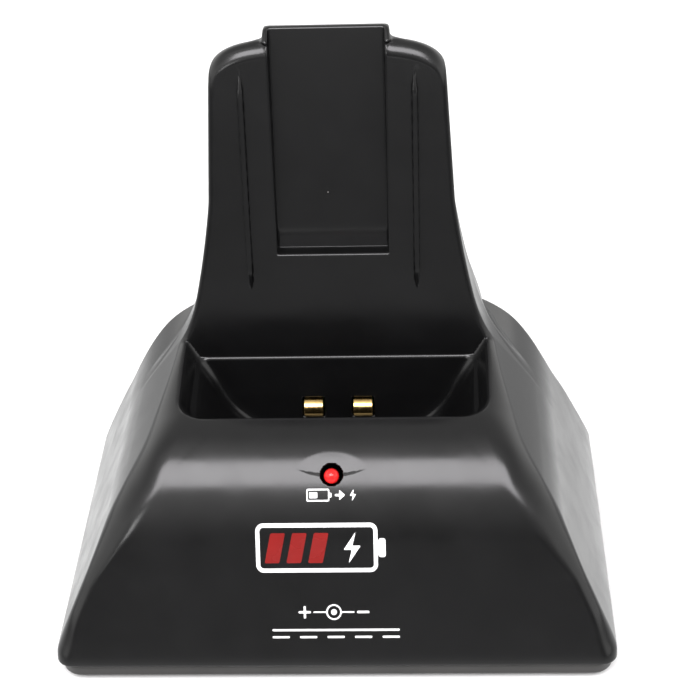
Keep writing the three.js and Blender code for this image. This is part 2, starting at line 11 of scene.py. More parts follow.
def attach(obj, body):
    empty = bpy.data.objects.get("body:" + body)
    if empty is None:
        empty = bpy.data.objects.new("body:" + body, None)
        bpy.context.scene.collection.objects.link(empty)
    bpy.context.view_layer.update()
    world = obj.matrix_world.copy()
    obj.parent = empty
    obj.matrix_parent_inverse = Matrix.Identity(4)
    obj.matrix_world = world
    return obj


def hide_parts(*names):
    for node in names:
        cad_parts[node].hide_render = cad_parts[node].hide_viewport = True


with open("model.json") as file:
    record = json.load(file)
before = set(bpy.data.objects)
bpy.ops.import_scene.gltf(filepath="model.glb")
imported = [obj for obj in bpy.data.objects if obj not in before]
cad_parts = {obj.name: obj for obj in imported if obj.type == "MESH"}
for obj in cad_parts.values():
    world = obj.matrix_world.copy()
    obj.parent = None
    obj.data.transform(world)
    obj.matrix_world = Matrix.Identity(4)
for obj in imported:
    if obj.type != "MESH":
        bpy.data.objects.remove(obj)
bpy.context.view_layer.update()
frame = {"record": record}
MM = 0.001
ROOT = "cradle"

# ---------------------------------------------------------------- driving dimensions, millimetres
HALF = 52.5
FRONT, BACK = -37.2, 35.0
SHIFT = -(FRONT + BACK) / 2
SHELL_BASE = 4.2
SILL = 6.0
ARCH_TOP = 49.5
DECK = 45.7
FACE_TOP = (-29.2, 26.5)
DECK_FRONT = (-10.7, 43.36)
HEIGHT = 107.2
CREST_HALF = 12.1
WALL = 2.2
TUB_WALL = 2.0

TOWER_LEAN = math.tan(math.radians(7))
LEAN_COS, LEAN_SIN = math.cos(math.radians(7)), math.sin(math.radians(7))
TOWER_FOOT = (11.0, 50.0)
SHOULDER_FRONT_Z = 105.2
CREST_Y = 20.4
BACK_LEAN = 0.1267
FLANK_DRAFT = 0.06
FLANK_START, FLANK_END = 12.0, 40.0

POCKET_FLOOR = 22.4
POCKET_RADIUS = 22.0
POCKET_HALF_FLAT = 3.3
POCKET_FRONT, POCKET_BACK = -10.4, 9.2
POCKET_DRAFT = 0.075
LEDGE_Z = 42.2
RIM_FRONT = -12.0
RIM_HALF = 29.9
RIM_RADIUS = 5.5
RIM_BACK_RADIUS = 1.6
SLOPE_FOOT = 27.3

RECESS_HALF = 10.6
RECESS_BOTTOM = 63.8
RECESS_DEPTH = 2.7
UNDERCUT = 4.2
RIB_X = 16.0
RIB_HALF = 0.5
RIB_PROUD = 0.9
RIB_BOTTOM, RIB_TOP = 56.0, 100.5

CONTACT_X = 4.9
CONTACT_Z = 30.4
CONTACT_RADIUS = 2.0
CONTACT_PROUD = 1.8
CONTACT_WIDTH = 3.7
SLOT_HALF_WIDTH, SLOT_HALF_HEIGHT = 2.15, 2.3
BOARD_POST = (12.0, 34.0)
BOARD_POST_RADIUS = 2.2
LED_AT = (0.0, -22.46, 37.88)
LED_TILT = math.radians(45)
LED_HOLE = 2.05
SCOOP_UPPER, SCOOP_LOWER = (-3.2, 7.7), (13.0, 13.6)
SCOOP_FLATNESS = 160.0
JACK_Z = 16.2
JACK_OPENING = 5.0
POST_X = 35.0
POST_Y = (-21.0, 25.0)
POST_RADIUS, POST_BOTTOM = 3.2, 5.9
PILOT_RADIUS, PILOT_TOP = 1.75, 19.0

PLAN_RADIUS = 4.6
COVER_BOTTOM, COVER_TOP = 0.8, 3.9
COVER_FLOOR = 2.8
LIP_EDGE, LIP_WIDTH, LIP_HEIGHT = 2.9, 1.6, 2.2
WELL_RADIUS, WELL_WALL_RADIUS, WELL_TOP = 3.2, 4.6, 5.6
SCREW_HOLE = 1.85
COVER_POST_RADIUS, COVER_POST_TOP, COVER_POST_HOLE = 2.6, 7.7, 1.25
CLEARANCE = 0.3
HEAD_LOW, HEAD_TOP, HEAD_RADIUS, HEAD_DOME = 1.4, 3.1, 2.8, 4.6
SHANK_RADIUS, SHANK_LENGTH = 1.3, 12.9
THREAD_PITCH, THREAD_DEPTH = 1.2, 0.14
CROSS_DEPTH = 1.35
FOOT_X = 44.5
FOOT_Y = (-30.0, 27.8)
FOOT_RADIUS, FOOT_TOP = 4.2, 2.0
BOARD_SCREWS = ((-25, 25), (25, 25), (25, 4))
LED_RADIUS = 1.4
LED_TOP, LED_BOTTOM = 1.35, -3.4
LED_DROP = 0.25
LEAF = 0.35

# rounding of the base's side ridges: at its foot, then each (change, from height, to height)
RIDGE_FOOT = 3.0
RIDGE_CHANGES = ((-0.9, 7, 14), (2.8, 19, 30), (-1.2, 35, 41))
RIDGE_HEEL = 2.0
RIDGE_BEHIND = 1.2
TOWER_EDGE, SHOULDER_EDGE, CREST_EDGE = 1.1, 1.6, 0.5
FOOT_EDGE, CREASE = 2.5, 2.2
LEDGE_EDGE, RIM_EDGE, RECESS_EDGE = 0.7, 0.7, 0.45
FLARE, FLARE_HEIGHT = 0.041, 7
CAVITY_EDGE, SLOT_EDGE, HOLE_EDGE, JACK_EDGE = 1.8, 0.2, 0.08, 0.4
REAR_OVERLAP = 0.5
JACK_FRONT = 25.0


def tower_front_y(z):
    return TOWER_FOOT[0] + TOWER_LEAN * (z - TOWER_FOOT[1])


def back_y(z):
    return BACK - BACK_LEAN * (z - SILL)


DECK_BACK = tower_front_y(DECK)
DECK_SLOPE = (DECK - DECK_FRONT[1]) / (DECK_BACK - DECK_FRONT[0])


# ---------------------------------------------------------------- outlines
def bezier(p0, p1, p2, p3, steps=40):
    t = np.linspace(0, 1, steps + 1)[1:, None]
    p0, p1, p2, p3 = (np.array(p, float) for p in (p0, p1, p2, p3))
    return (1 - t) ** 3 * p0 + 3 * (1 - t) ** 2 * t * p1 + 3 * (1 - t) * t**2 * p2 + t**3 * p3


def path(*parts):
    """Points of an outline from corners (pairs) and curves (arrays)."""
    return np.vstack([np.atleast_2d(np.array(part, float)) for part in parts])


def mirrored(half):
    left = half[::-1] * [-1, 1]
    return np.vstack([half, left[np.abs(left[:, 0]) > 1e-6]])


SIDE_CURVE = bezier((HALF, SILL), (HALF - 2, 12), (46.2, 20), (42.8, 27.5))
OUTLINE_LOW = -8.0


def arch_outline():
    top = bezier((42.8, 27.5), (37.5, 39), (26, ARCH_TOP), (0, ARCH_TOP))
    return mirrored(path((HALF, OUTLINE_LOW), (HALF, SILL), SIDE_CURVE, top))


def tower_outline():
    rim = bezier((42.8, 27.5), (40.2, 33.4), (35, 39), (31, 44.6))
    foot = bezier((31, 44.6), (29.2, 47.2), (27.9, 50.3), (27, 54))
    flank = bezier((27, 54), (25.6, 60), (24.2, 68), (23.5, 74))
    shoulder = bezier((22.2, 99), (21.9, 102.2), (18.5, 104.3), (CREST_HALF, 104.9))
    half = path((HALF, OUTLINE_LOW), (HALF, SILL), SIDE_CURVE, rim, foot, flank, (22.2, 99), shoulder,
                (CREST_HALF, HEIGHT))
    return mirrored(half)


FRONT_CURVE = bezier(FACE_TOP, (-25.5, 36.4), (-20.1, 42.3), DECK_FRONT)


def base_side():
    start = (DECK_BACK + 0.5, DECK + 0.1)
    rise = bezier(start, (14.5, 46.2), (14.5, ARCH_TOP), (19, ARCH_TOP))
    heel = bezier((22, ARCH_TOP), (27.5, ARCH_TOP), (back_y(43) - 0.6, 47.5), (back_y(40), 40))
    return path((FRONT, OUTLINE_LOW), (FRONT, SILL - 1), FACE_TOP, FRONT_CURVE, start, rise, (22, ARCH_TOP),
                heel, (BACK, SILL), (BACK, OUTLINE_LOW))


def tower_side():
    return path((FRONT, OUTLINE_LOW), (FRONT, SILL - 1), FACE_TOP, FRONT_CURVE, (DECK_BACK, DECK),
                (tower_front_y(SHOULDER_FRONT_Z), SHOULDER_FRONT_Z), (CREST_Y, HEIGHT),
                (back_y(HEIGHT), HEIGHT), (back_y(40), 40), (back_y(40), OUTLINE_LOW))


def foot_plan():
    side = bezier((45, 13), (36, 14.5), (31, 19), (29.6, 25))
    half = path((80, -60), (80, 13), (45, 13), side, (28, 40))
    return np.vstack([half, half[::-1] * [-1, 1]])


# ---------------------------------------------------------------- distance fields
class Field:
    """Softened signed distance to a closed outline, negative inside, read by cubic interpolation."""

    def __init__(self, outline, soften, step=0.25, margin=7.0):
        self.low = outline.min(0) - margin
        self.step = step
        size = np.ceil((outline.max(0) + margin - self.low) / step).astype(int) + 1
        u = (self.low[0] + step * np.arange(size[0]))[:, None]
        v = (self.low[1] + step * np.arange(size[1]))[None, :]
        best = np.full((size[0], size[1]), 1e9)
        inside = np.zeros((size[0], size[1]), bool)
        for a, b in zip(outline, np.roll(outline, -1, 0)):
            d = b - a
            length2 = float(d @ d)
            if length2 < 1e-12:
                continue
            t = np.clip(((u - a[0]) * d[0] + (v - a[1]) * d[1]) / length2, 0, 1)
            best = np.minimum(best, (u - a[0] - t * d[0]) ** 2 + (v - a[1] - t * d[1]) ** 2)
            crosses = (a[1] > v) != (b[1] > v)
            with np.errstate(divide="ignore", invalid="ignore"):
                inside ^= crosses & (u < (b[0] - a[0]) * (v - a[1]) / (b[1] - a[1]) + a[0])
        grid = np.sqrt(best) * np.where(inside, -1, 1)
        self.grid = self._soften(grid, soften / step).astype(np.float32)

    @staticmethod
    def _soften(grid, sigma):
        reach = max(1, math.ceil(3 * sigma))
        weights = np.exp(-0.5 * (np.arange(-reach, reach + 1) / sigma) ** 2)
        weights /= weights.sum()
        for axis in (0, 1):
            pad = [(0, 0), (0, 0)]
            pad[axis] = (reach, reach)
            padded = np.pad(grid, pad, mode="reflect", reflect_type="odd")
            total = 0
            for i, w in enumerate(weights):
                part = [slice(None), slice(None)]
                part[axis] = slice(i, i + grid.shape[axis])
                total = total + w * padded[tuple(part)]
            grid = total
        return grid

    def __call__(self, u, v):
        u, v = np.broadcast_arrays(u, v)
        gu = np.clip((u - self.low[0]) / self.step, 1, self.grid.shape[0] - 2.001)
        gv = np.clip((v - self.low[1]) / self.step, 1, self.grid.shape[1] - 2.001)
        iu, iv = gu.astype(np.int32), gv.astype(np.int32)
        wu, wv = self._weights(gu - iu), self._weights(gv - iv)
        flat, width = self.grid.ravel(), self.grid.shape[1]
        total = 0
        for a in range(4):
            row = (iu + (a - 1)) * width + (iv - 1)
            total = total + wu[a] * sum(wv[b] * flat[row + b] for b in range(4))
        return total

    @staticmethod
    def _weights(t):
        t2, t3 = t * t, t * t * t
        return (-0.5 * t + t2 - 0.5 * t3, 1 - 2.5 * t2 + 1.5 * t3, 0.5 * t + 2 * t2 - 1.5 * t3,
                -0.5 * t2 + 0.5 * t3)


def cut(a, b, r):
    """Both solids at once, with edges rounded to radius r."""
    return np.minimum(np.maximum(a, b), -r) + np.hypot(np.maximum(a + r, 0), np.maximum(b + r, 0))


def join(a, b, r):
    """Either solid, with a fillet of radius r in the corner between them."""
    return -cut(-a, -b, r)


def smooth(x, low, high):
    t = np.clip((x - low) / (high - low), 0, 1)
    return t * t * (3 - 2 * t)


def box_field(x, y, z, low, high):
    """Signed distance to a box, exact near its faces."""
    gap = [np.maximum(lo - p, p - hi) for p, lo, hi in zip((x, y, z), low, high)]
    return np.maximum(np.maximum(gap[0], gap[1]), gap[2])


def rounded_rect_field(u, v, half_u, half_v, radius):
    qu, qv = np.abs(u) - half_u + radius, np.abs(v) - half_v + radius
    return np.hypot(np.maximum(qu, 0), np.maximum(qv, 0)) + np.minimum(np.maximum(qu, qv), 0) - radius


ARCH = Field(arch_outline(), 0.5)
TOWER = Field(tower_outline(), 0.35)
BASE_SIDE = Field(base_side(), 0.6)
TOWER_SIDE = Field(tower_side(), 0.3)
FOOT = Field(foot_plan(), 0.6)


def outer_field(x, y, z):
    """Outside of the housing: the sloped base joined to the leaning tower."""
    heel = smooth(y, 4, 20) * smooth(z, 5, 14) * (1 - smooth(z, 22, 34))
    ridge = RIDGE_FOOT
    for change, low, high in RIDGE_CHANGES:
        ridge = ridge + change * smooth(z, low, high)
    ridge = ridge + RIDGE_HEEL * heel
    ridge = ridge + (RIDGE_BEHIND - ridge) * smooth(y, -16, 8) * smooth(z, 30, 40)
    shoulder = smooth(z, 96, 102) * (1 - smooth(z, 104.3, 105.3))
    edge = TOWER_EDGE + (ridge - TOWER_EDGE) * (1 - smooth(z, 44, 49))
    edge = edge + SHOULDER_EDGE * shoulder - CREST_EDGE * smooth(z, 104.6, 105.4)
    lobe = cut(ARCH(x, z), BASE_SIDE(y, z), ridge)
    drawn = FLANK_DRAFT * np.clip(y - FLANK_START, 0, FLANK_END - FLANK_START)
    flare = TOWER(np.abs(x) + drawn, z)
    tower = cut(flare, TOWER_SIDE(y, z), edge)
    tower = cut(tower, FOOT(x, y), FOOT_EDGE)
    crease = CREASE * smooth(y, 12, 17) * (1 - smooth(y, back_y(z) - 6, back_y(z) - 2))
    return join(lobe, tower, crease)


def pocket_fields(x, y, z, grow):
    """The pocket's round-bottomed cavity, and the funnel above its ledge, both grown by a wall."""
    radius = POCKET_RADIUS + grow
    drop = z - (POCKET_FLOOR + POCKET_RADIUS)
    level = z - DECK_SLOPE * (y - DECK_BACK)
    flare = FLARE * np.clip(level - LEDGE_Z + FLARE_HEIGHT, 0, FLARE_HEIGHT) ** 2
    side = np.abs(x) - POCKET_HALF_FLAT - flare
    bowl = np.where(drop < 0, np.hypot(np.maximum(side, 0), drop), side) - radius
    back = POCKET_BACK + grow + POCKET_DRAFT * np.clip(z - CONTACT_Z - 3, 0, 9)
    cavity = cut(bowl, np.maximum(y - back, POCKET_FRONT - grow - y), CAVITY_EDGE + grow / 2)
    cavity = np.maximum(cavity, z - (LEDGE_Z + 3))
    rise = (level - LEDGE_Z) / (DECK + 1 - LEDGE_Z)
    half_x = SLOPE_FOOT + (RIM_HALF - SLOPE_FOOT) * rise
    front = POCKET_FRONT + (RIM_FRONT - POCKET_FRONT) * rise
    rear = tower_front_y(z) + REAR_OVERLAP
    middle = y - (front + rear) / 2
    corner = np.where(middle < 0, RIM_RADIUS, RIM_BACK_RADIUS)
    rect = rounded_rect_field(x, middle, half_x + grow, (rear - front) / 2 + grow, corner)
    funnel = cut(rect * 0.9, LEDGE_Z - grow - level, 0.4)
    return cavity, funnel


def tower_frame(y, z):
    """Depth behind the tower's leaning face, and height along it."""
    dy, dz = y - TOWER_FOOT[0], z - TOWER_FOOT[1]
    return dy * LEAN_COS - dz * LEAN_SIN, dz * LEAN_COS + dy * LEAN_SIN + TOWER_FOOT[1]


def recess_field(x, depth, along, grow):
    """Belt-clip slot in the tower's face, undercut towards its foot."""
    side = np.abs(x) - RECESS_HALF - grow
    back = depth - RECESS_DEPTH - grow
    low = UNDERCUT - along + RECESS_BOTTOM
    back = back - 0.1 * (low + np.hypot(low, 0.6))
    foot = RECESS_BOTTOM + 0.1 - along - grow
    return cut(cut(side, back, 0.35), foot, 0.2)


def ribs_field(x, depth, along):
    """Two thin ribs on the tower's face, tapered at their ends."""
    ends = np.minimum(smooth(along, RIB_BOTTOM, RIB_BOTTOM + 5), 1 - smooth(along, RIB_TOP - 5, RIB_TOP))
    side = np.abs(np.abs(x) - RIB_X) - RIB_HALF * (0.35 + 0.65 * ends)
    top = cut(-RIB_PROUD * ends - depth, side, 0.15)
    return np.maximum(np.maximum(top, depth - 1), np.maximum(RIB_BOTTOM - along, along - RIB_TOP))


def lamp_frame(x, y, z):
    """Distance from the lamp's axis, and height along it above the shoulder."""
    dy, dz = y - LED_AT[1], z - LED_AT[2]
    up = dz * math.cos(LED_TILT) - dy * math.sin(LED_TILT)
    across = dz * math.sin(LED_TILT) + dy * math.cos(LED_TILT)
    return across, up


def lamp_scoop(x, across, up):
    """Depth of the eye-shaped scoop round the lamp: gentle above, steep along its lower lid."""
    upper = (SCOOP_UPPER[1] ** 2 - x**2 - (across - SCOOP_UPPER[0]) ** 2) / SCOOP_FLATNESS
    lower = (SCOOP_LOWER[1] - np.hypot(x, across - SCOOP_LOWER[0])) * 0.3
    depth = -cut(-upper, -lower, 0.05)
    return np.where(up > -6, 0.5 * (depth + np.hypot(depth, 0.02)), 0)


def housing_field(x, y, z):
    """Upper housing: the outside, hollowed, with the pocket, slot, ribs, openings and screw posts."""
    y = y - SHIFT
    across, up = lamp_frame(x, y, z)
    outer = outer_field(x, y, z) + lamp_scoop(x, across, up)
    depth, along = tower_frame(y, z)
    cavity, funnel = pocket_fields(x, y, z, 0.0)
    wide_cavity, wide_funnel = pocket_fields(x, y, z, TUB_WALL)
    recess = recess_field(x, depth, along, 0.0)
    tub = np.minimum(np.minimum(wide_cavity, wide_funnel), recess_field(x, depth, along, TUB_WALL))
    for post_y in POST_Y:
        post = np.hypot(np.abs(x) - POST_X, y - post_y) - POST_RADIUS
        tub = np.minimum(tub, np.maximum(post, POST_BOTTOM - z))
    board_post = np.hypot(np.abs(x) - BOARD_POST[0], z - BOARD_POST[1]) - BOARD_POST_RADIUS
    tub = np.minimum(tub, box_field(board_post, y, z, (-9, POCKET_BACK, 30), (0, 13.7, 38)))
    hollow = np.maximum(outer + WALL, -tub)
    solid = cut(outer, SHELL_BASE - z, 0.35)
    # the funnel reaches a little behind the tower's face, which is kept flat
    kept = np.maximum(solid, tower_front_y(z) - y)
    solid = np.minimum(cut(solid, -funnel, RIM_EDGE), kept)
    solid = cut(solid, -cavity, LEDGE_EDGE)
    solid = join(solid, ribs_field(x, depth, along), 0.06)
    solid = cut(solid, -recess, RECESS_EDGE)
    solid = np.maximum(solid, -hollow)
    slot = box_field(np.abs(x) - CONTACT_X, y, z - CONTACT_Z, (-SLOT_HALF_WIDTH, 7, -SLOT_HALF_HEIGHT),
                     (SLOT_HALF_WIDTH, 12.5, SLOT_HALF_HEIGHT))
    solid = cut(solid, -slot, SLOT_EDGE)
    solid = cut(solid, -np.maximum(np.hypot(x, across) - LED_HOLE, np.abs(up) - 8), HOLE_EDGE)
    jack = np.hypot(x, z - JACK_Z) - JACK_OPENING
    solid = cut(solid, -np.maximum(jack, JACK_FRONT - y), JACK_EDGE)
    for post_y in POST_Y:
        pilot = np.hypot(np.abs(x) - POST_X, y - post_y) - PILOT_RADIUS
        solid = np.maximum(solid, -np.maximum(pilot, z - PILOT_TOP))
    return solid


def cover_field(x, y, z):
    """Bottom cover with its lip, screw wells, board posts and foot pockets."""
    rim = rounded_rect_field(x, y, HALF, (BACK - FRONT) / 2, PLAN_RADIUS)
    inset = 0.4 + 0.3 * (1 - smooth(z, 1.5, 3.9)) + 0.9 * (1 - smooth(z, 0.6, 1.8))
    solid = cut(rim + inset, np.maximum(COVER_BOTTOM - z, z - COVER_TOP), 0.35)
    lip = np.maximum(rim + LIP_EDGE, np.maximum(z - COVER_TOP - LIP_HEIGHT, 2.3 - z))
    solid = np.minimum(solid, lip)
    solid = np.maximum(solid, -np.maximum(rim + LIP_EDGE + LIP_WIDTH, COVER_FLOOR - z))
    y = y - SHIFT
    x_side = np.abs(x)
    for post_y in POST_Y:
        post = np.hypot(x_side - POST_X, y - post_y)
        solid = np.minimum(solid, np.maximum(post - WELL_WALL_RADIUS, np.maximum(2 - z, z - WELL_TOP)))
        solid = cut(solid, -np.maximum(post - WELL_RADIUS, z - HEAD_TOP - CLEARANCE), 0.25)
        solid = np.maximum(solid, SCREW_HOLE - post)
    for at_x, at_y in BOARD_SCREWS:
        post = np.hypot(x - at_x, y - at_y)
        wall = np.maximum(post - COVER_POST_RADIUS, np.maximum(2 - z, z - COVER_POST_TOP))
        solid = np.minimum(solid, wall)
        solid = np.maximum(solid, -np.maximum(post - COVER_POST_HOLE, 3 - z))
    for foot_y in FOOT_Y:
        foot = np.hypot(x_side - FOOT_X, y - foot_y)
        pocket = np.maximum(foot - FOOT_RADIUS - CLEARANCE, z - FOOT_TOP - CLEARANCE)
        solid = cut(solid, -pocket, 0.2)
    return solid


def screw_field(x, y, z):
    """Pan-head screw, head down, with a tapered cross recess."""
    across = np.hypot(x, y)
    dome = np.hypot(across, z - (HEAD_LOW + HEAD_DOME)) - HEAD_DOME
    head = cut(cut(across - HEAD_RADIUS, dome, 0.3), z - HEAD_TOP, 0.15)
    turned = (z - np.arctan2(y, x) / math.tau * THREAD_PITCH) / THREAD_PITCH
    thread = THREAD_DEPTH * np.abs(turned % 1 - 0.5) * 4
    tip = 0.3 * smooth(z, HEAD_TOP + 11, HEAD_TOP + 13)
    shank = np.maximum(across - SHANK_RADIUS - thread + tip, 2.5 - z)
    shank = np.maximum(shank, z - HEAD_TOP - SHANK_LENGTH)
    solid = np.minimum(head, shank)
    deep = HEAD_LOW + CROSS_DEPTH - z
    narrow = np.minimum(np.abs(x), np.abs(y)) - 0.18 - 0.16 * deep
    wide = np.maximum(np.abs(x), np.abs(y)) - 0.55 - 0.75 * deep
    return cut(solid, -np.maximum(np.maximum(narrow, wide), -deep), 0.06)


def foot_field(x, y, z):
    """Moulded rubber foot with a shallow ring in its sole."""
    across = np.hypot(x, y)
    solid = cut(across - FOOT_RADIUS + 0.05 * z, np.maximum(-z, z - FOOT_TOP), 0.45)
    ring = np.hypot(across - 2.3, z + 0.25) - 0.6
    return cut(solid, -ring, 0.08)


# ---------------------------------------------------------------- turning a field into a mesh
def ticks(low, high, step, fine=()):
    """Grid lines from low to high, closer together inside the fine stretches (low, high, step)."""
    places, at = [low], low
    while at < high:
        inner = [s for a, b, s in fine if a <= at < b]
        at += min(inner) * 1 if inner else step
        places.append(at)
    return np.array(places, np.float32)


def mirror_ticks(half, step, fine=()):
    right = ticks(0.0, half, step, fine)
    return np.concatenate([-right[:0:-1], right])


def surface_net(field, xs, ys, zs):
    """Quads over the zero surface of a field sampled on grid lines, one corner in each crossed cell."""
    slabs = [field(xs[:, None, None], ys[None, i : i + 12, None], zs[None, None, :]).astype(np.float32)
             for i in range(0, len(ys), 12)]
    values = np.concatenate([np.broadcast_to(s, (len(xs), s.shape[1], len(zs))) for s in slabs], 1)
    inside = values < 0
    shape = [n - 1 for n in values.shape]
    count = np.zeros(shape, np.uint8)
    offsets = [(i, j, k) for i in (0, 1) for j in (0, 1) for k in (0, 1)]
    for i, j, k in offsets:
        count += inside[i : i + shape[0], j : j + shape[1], k : k + shape[2]]
    cells = np.argwhere((count > 0) & (count < 8))
    index = np.full(shape, -1, np.int64)
    index[tuple(cells.T)] = np.arange(len(cells))
    total = np.zeros((len(cells), 3))
    hits = np.zeros(len(cells))
    lines = (xs, ys, zs)

    def corner(o):
        at = cells + np.array(o)
        place = np.stack([lines[a][at[:, a]] for a in range(3)], 1)
        return values[tuple(at.T)], place

    for o in offsets:
        for axis in range(3):
            if o[axis]:
                continue
            far = tuple(1 if a == axis else o[a] for a in range(3))
            (va, pa), (vb, pb) = corner(o), corner(far)
            crossed = (va < 0) != (vb < 0)
            t = np.where(crossed, va / np.where(crossed, va - vb, 1), 0)
            total += np.where(crossed[:, None], pa + t[:, None] * (pb - pa), 0)
            hits += crossed
    points = total / hits[:, None]
    faces = []
    for axis in range(3):
        u, v = (axis + 1) % 3, (axis + 2) % 3
        first = [slice(None)] * 3
        second = [slice(None)] * 3
        first[axis], second[axis] = slice(0, -1), slice(1, None)
        edges = np.argwhere(inside[tuple(first)] != inside[tuple(second)])
        edges = edges[(edges[:, u] > 0) & (edges[:, v] > 0)]
        edges = edges[(edges[:, u] < shape[u]) & (edges[:, v] < shape[v])]
        around = []
        for du, dv in ((-1, -1), (0, -1), (0, 0), (-1, 0)):
            at = edges.copy()
            at[:, u] += du
            at[:, v] += dv
            around.append(index[tuple(at.T)])
        quad = np.stack(around, 1)
        flip = ~inside[tuple(edges.T)]
        quad[flip] = quad[flip][:, ::-1]
        faces.append(quad)
    return points.astype(np.float32), np.concatenate(faces)


def gradient(field, p, eps=0.04):
    result = np.empty_like(p)
    for axis in range(3):
        step = np.zeros(3, np.float32)
        step[axis] = eps
        a, b = p + step, p - step
        result[:, axis] = (field(a[:, 0], a[:, 1], a[:, 2]) - field(b[:, 0], b[:, 1], b[:, 2])) / (2 * eps)
    return result


def settle(field, p, rounds, reach=0.35):
    """Moves points onto the field's surface."""
    for _ in range(rounds):
        slope = gradient(field, p)
        value = field(p[:, 0], p[:, 1], p[:, 2])
        step = -value[:, None] * slope / np.maximum((slope**2).sum(1), 0.2)[:, None]
        length = np.linalg.norm(step, axis=1)
        step *= np.minimum(1, reach / np.maximum(length, 1e-9))[:, None]
        p = (p + step).astype(np.float32)
    return p


def relax(points, faces, rounds):
    """Evens out the corners by moving each part of the way to the mean of its neighbours."""
    pairs = np.concatenate([faces[:, [0, 1]], faces[:, [1, 2]], faces[:, [2, 3]], faces[:, [3, 0]]])
    pairs = np.concatenate([pairs, pairs[:, ::-1]])
    weight = np.bincount(pairs[:, 0], minlength=len(points))
    for _ in range(rounds):
        near = points[pairs[:, 1]]
        total = np.stack([np.bincount(pairs[:, 0], near[:, a], len(points)) for a in range(3)], 1)
        points = points + 0.5 * (total / weight[:, None] - points)
    return points.astype(np.float32)


def mesh_object(name, points, faces):
    mesh = bpy.data.meshes.new(name)
    mesh.from_pydata([tuple(p) for p in (points * MM).tolist()], [], faces.tolist())
    mesh.update()
    piece = bpy.data.objects.new(name, mesh)
    bpy.context.scene.collection.objects.link(piece)
    mesh.shade_smooth()
    return piece


def apply_modifiers(piece):
    graph = bpy.context.evaluated_depsgraph_get()
    mesh = bpy.data.meshes.new_from_object(piece.evaluated_get(graph))
    piece.modifiers.clear()
    old = piece.data
    piece.data = mesh
    bpy.data.meshes.remove(old)


def field_object(name, field, xs, ys, zs, keep=0.42):
    """Smooth mesh of a field: net, thin out, settle on the surface, and take its normals."""
    points, faces = surface_net(field, xs, ys, zs)
    points = settle(field, points, 1)
    points = relax(points, faces, 2)
    points = settle(field, points, 1)
    piece = mesh_object(name, points, faces)
    thin = piece.modifiers.new("thin", "DECIMATE")
    thin.ratio = keep
    thin.use_collapse_triangulate = True
    apply_modifiers(piece)
    mesh = piece.data
    flat = np.empty(len(mesh.vertices) * 3, np.float32)
    mesh.vertices.foreach_get("co", flat)
    points = settle(field, flat.reshape(-1, 3) / MM, 2)
    mesh.vertices.foreach_set("co", (points * MM).ravel())
    mesh.shade_smooth()
    normals = gradient(field, points, 0.06)
    normals /= np.linalg.norm(normals, axis=1)[:, None]
    mesh.normals_split_custom_set_from_vertices(normals.astype(float).tolist())
    mesh.update()
    return piece


def lathe(profile, turns=48):
    """Points and faces of a profile (radius, height) turned about Z, closed on the axis."""
    angle = np.arange(turns) * math.tau / turns
    rings = [np.stack([r * np.cos(angle), r * np.sin(angle), np.full(turns, h)], 1) for r, h in profile]
    faces = []
    for k in range(len(profile) - 1):
        for i in range(turns):
            j = (i + 1) % turns
            faces.append((k * turns + i, k * turns + j, (k + 1) * turns + j, (k + 1) * turns + i))
    return np.vstack(rings), faces


def loose_object(name, points, faces, bevel=0.0):
    """Mesh piece from points in millimetres, with its edges rounded by a bevel."""
    bm = bmesh.new()
    corners = [bm.verts.new(p) for p in (np.asarray(points) * MM).tolist()]
    for face in faces:
        bm.faces.new([corners[i] for i in face])
    bmesh.ops.remove_doubles(bm, verts=bm.verts, dist=0.002 * MM)
    bmesh.ops.recalc_face_normals(bm, faces=bm.faces)
    mesh = bpy.data.meshes.new(name)
    bm.to_mesh(mesh)
    bm.free()
    piece = bpy.data.objects.new(name, mesh)
    bpy.context.scene.collection.objects.link(piece)
    mesh.shade_smooth()
    if bevel:
        rounding = piece.modifiers.new("rounding", "BEVEL")
        rounding.width = bevel * MM
        rounding.segments = 2
        rounding.limit_method = "ANGLE"
        rounding.angle_limit = math.radians(40)
        rounding.harden_normals = True
        apply_modifiers(piece)
    return piece


def from_lamp(points):
    """Takes points from the lamp's own axes (Z outward) to the cradle's."""
    x, across, up = points.T
    turn_cos, turn_sin = math.cos(LED_TILT), math.sin(LED_TILT)
    y = LED_AT[1] + SHIFT + across * turn_cos - up * turn_sin
    z = LED_AT[2] + across * turn_sin + up * turn_cos
    return np.stack([x, y, z], 1)


def build_lamp():
    """Domed lamp on a narrower neck, turned about its own axis."""
    arc = np.linspace(0, math.pi / 2, 13)
    dome = [(max(LED_RADIUS * math.cos(a), 0.0), LED_TOP - LED_RADIUS * (1 - math.sin(a))) for a in arc]
    neck = LED_RADIUS - 0.2
    profile = [(0, LED_BOTTOM), (neck, LED_BOTTOM), (neck, -0.7), (LED_RADIUS, -0.45)]
    points, faces = lathe(profile + dome)
    return loose_object("lamp", from_lamp(points - [0, LED_DROP, 0]), faces)


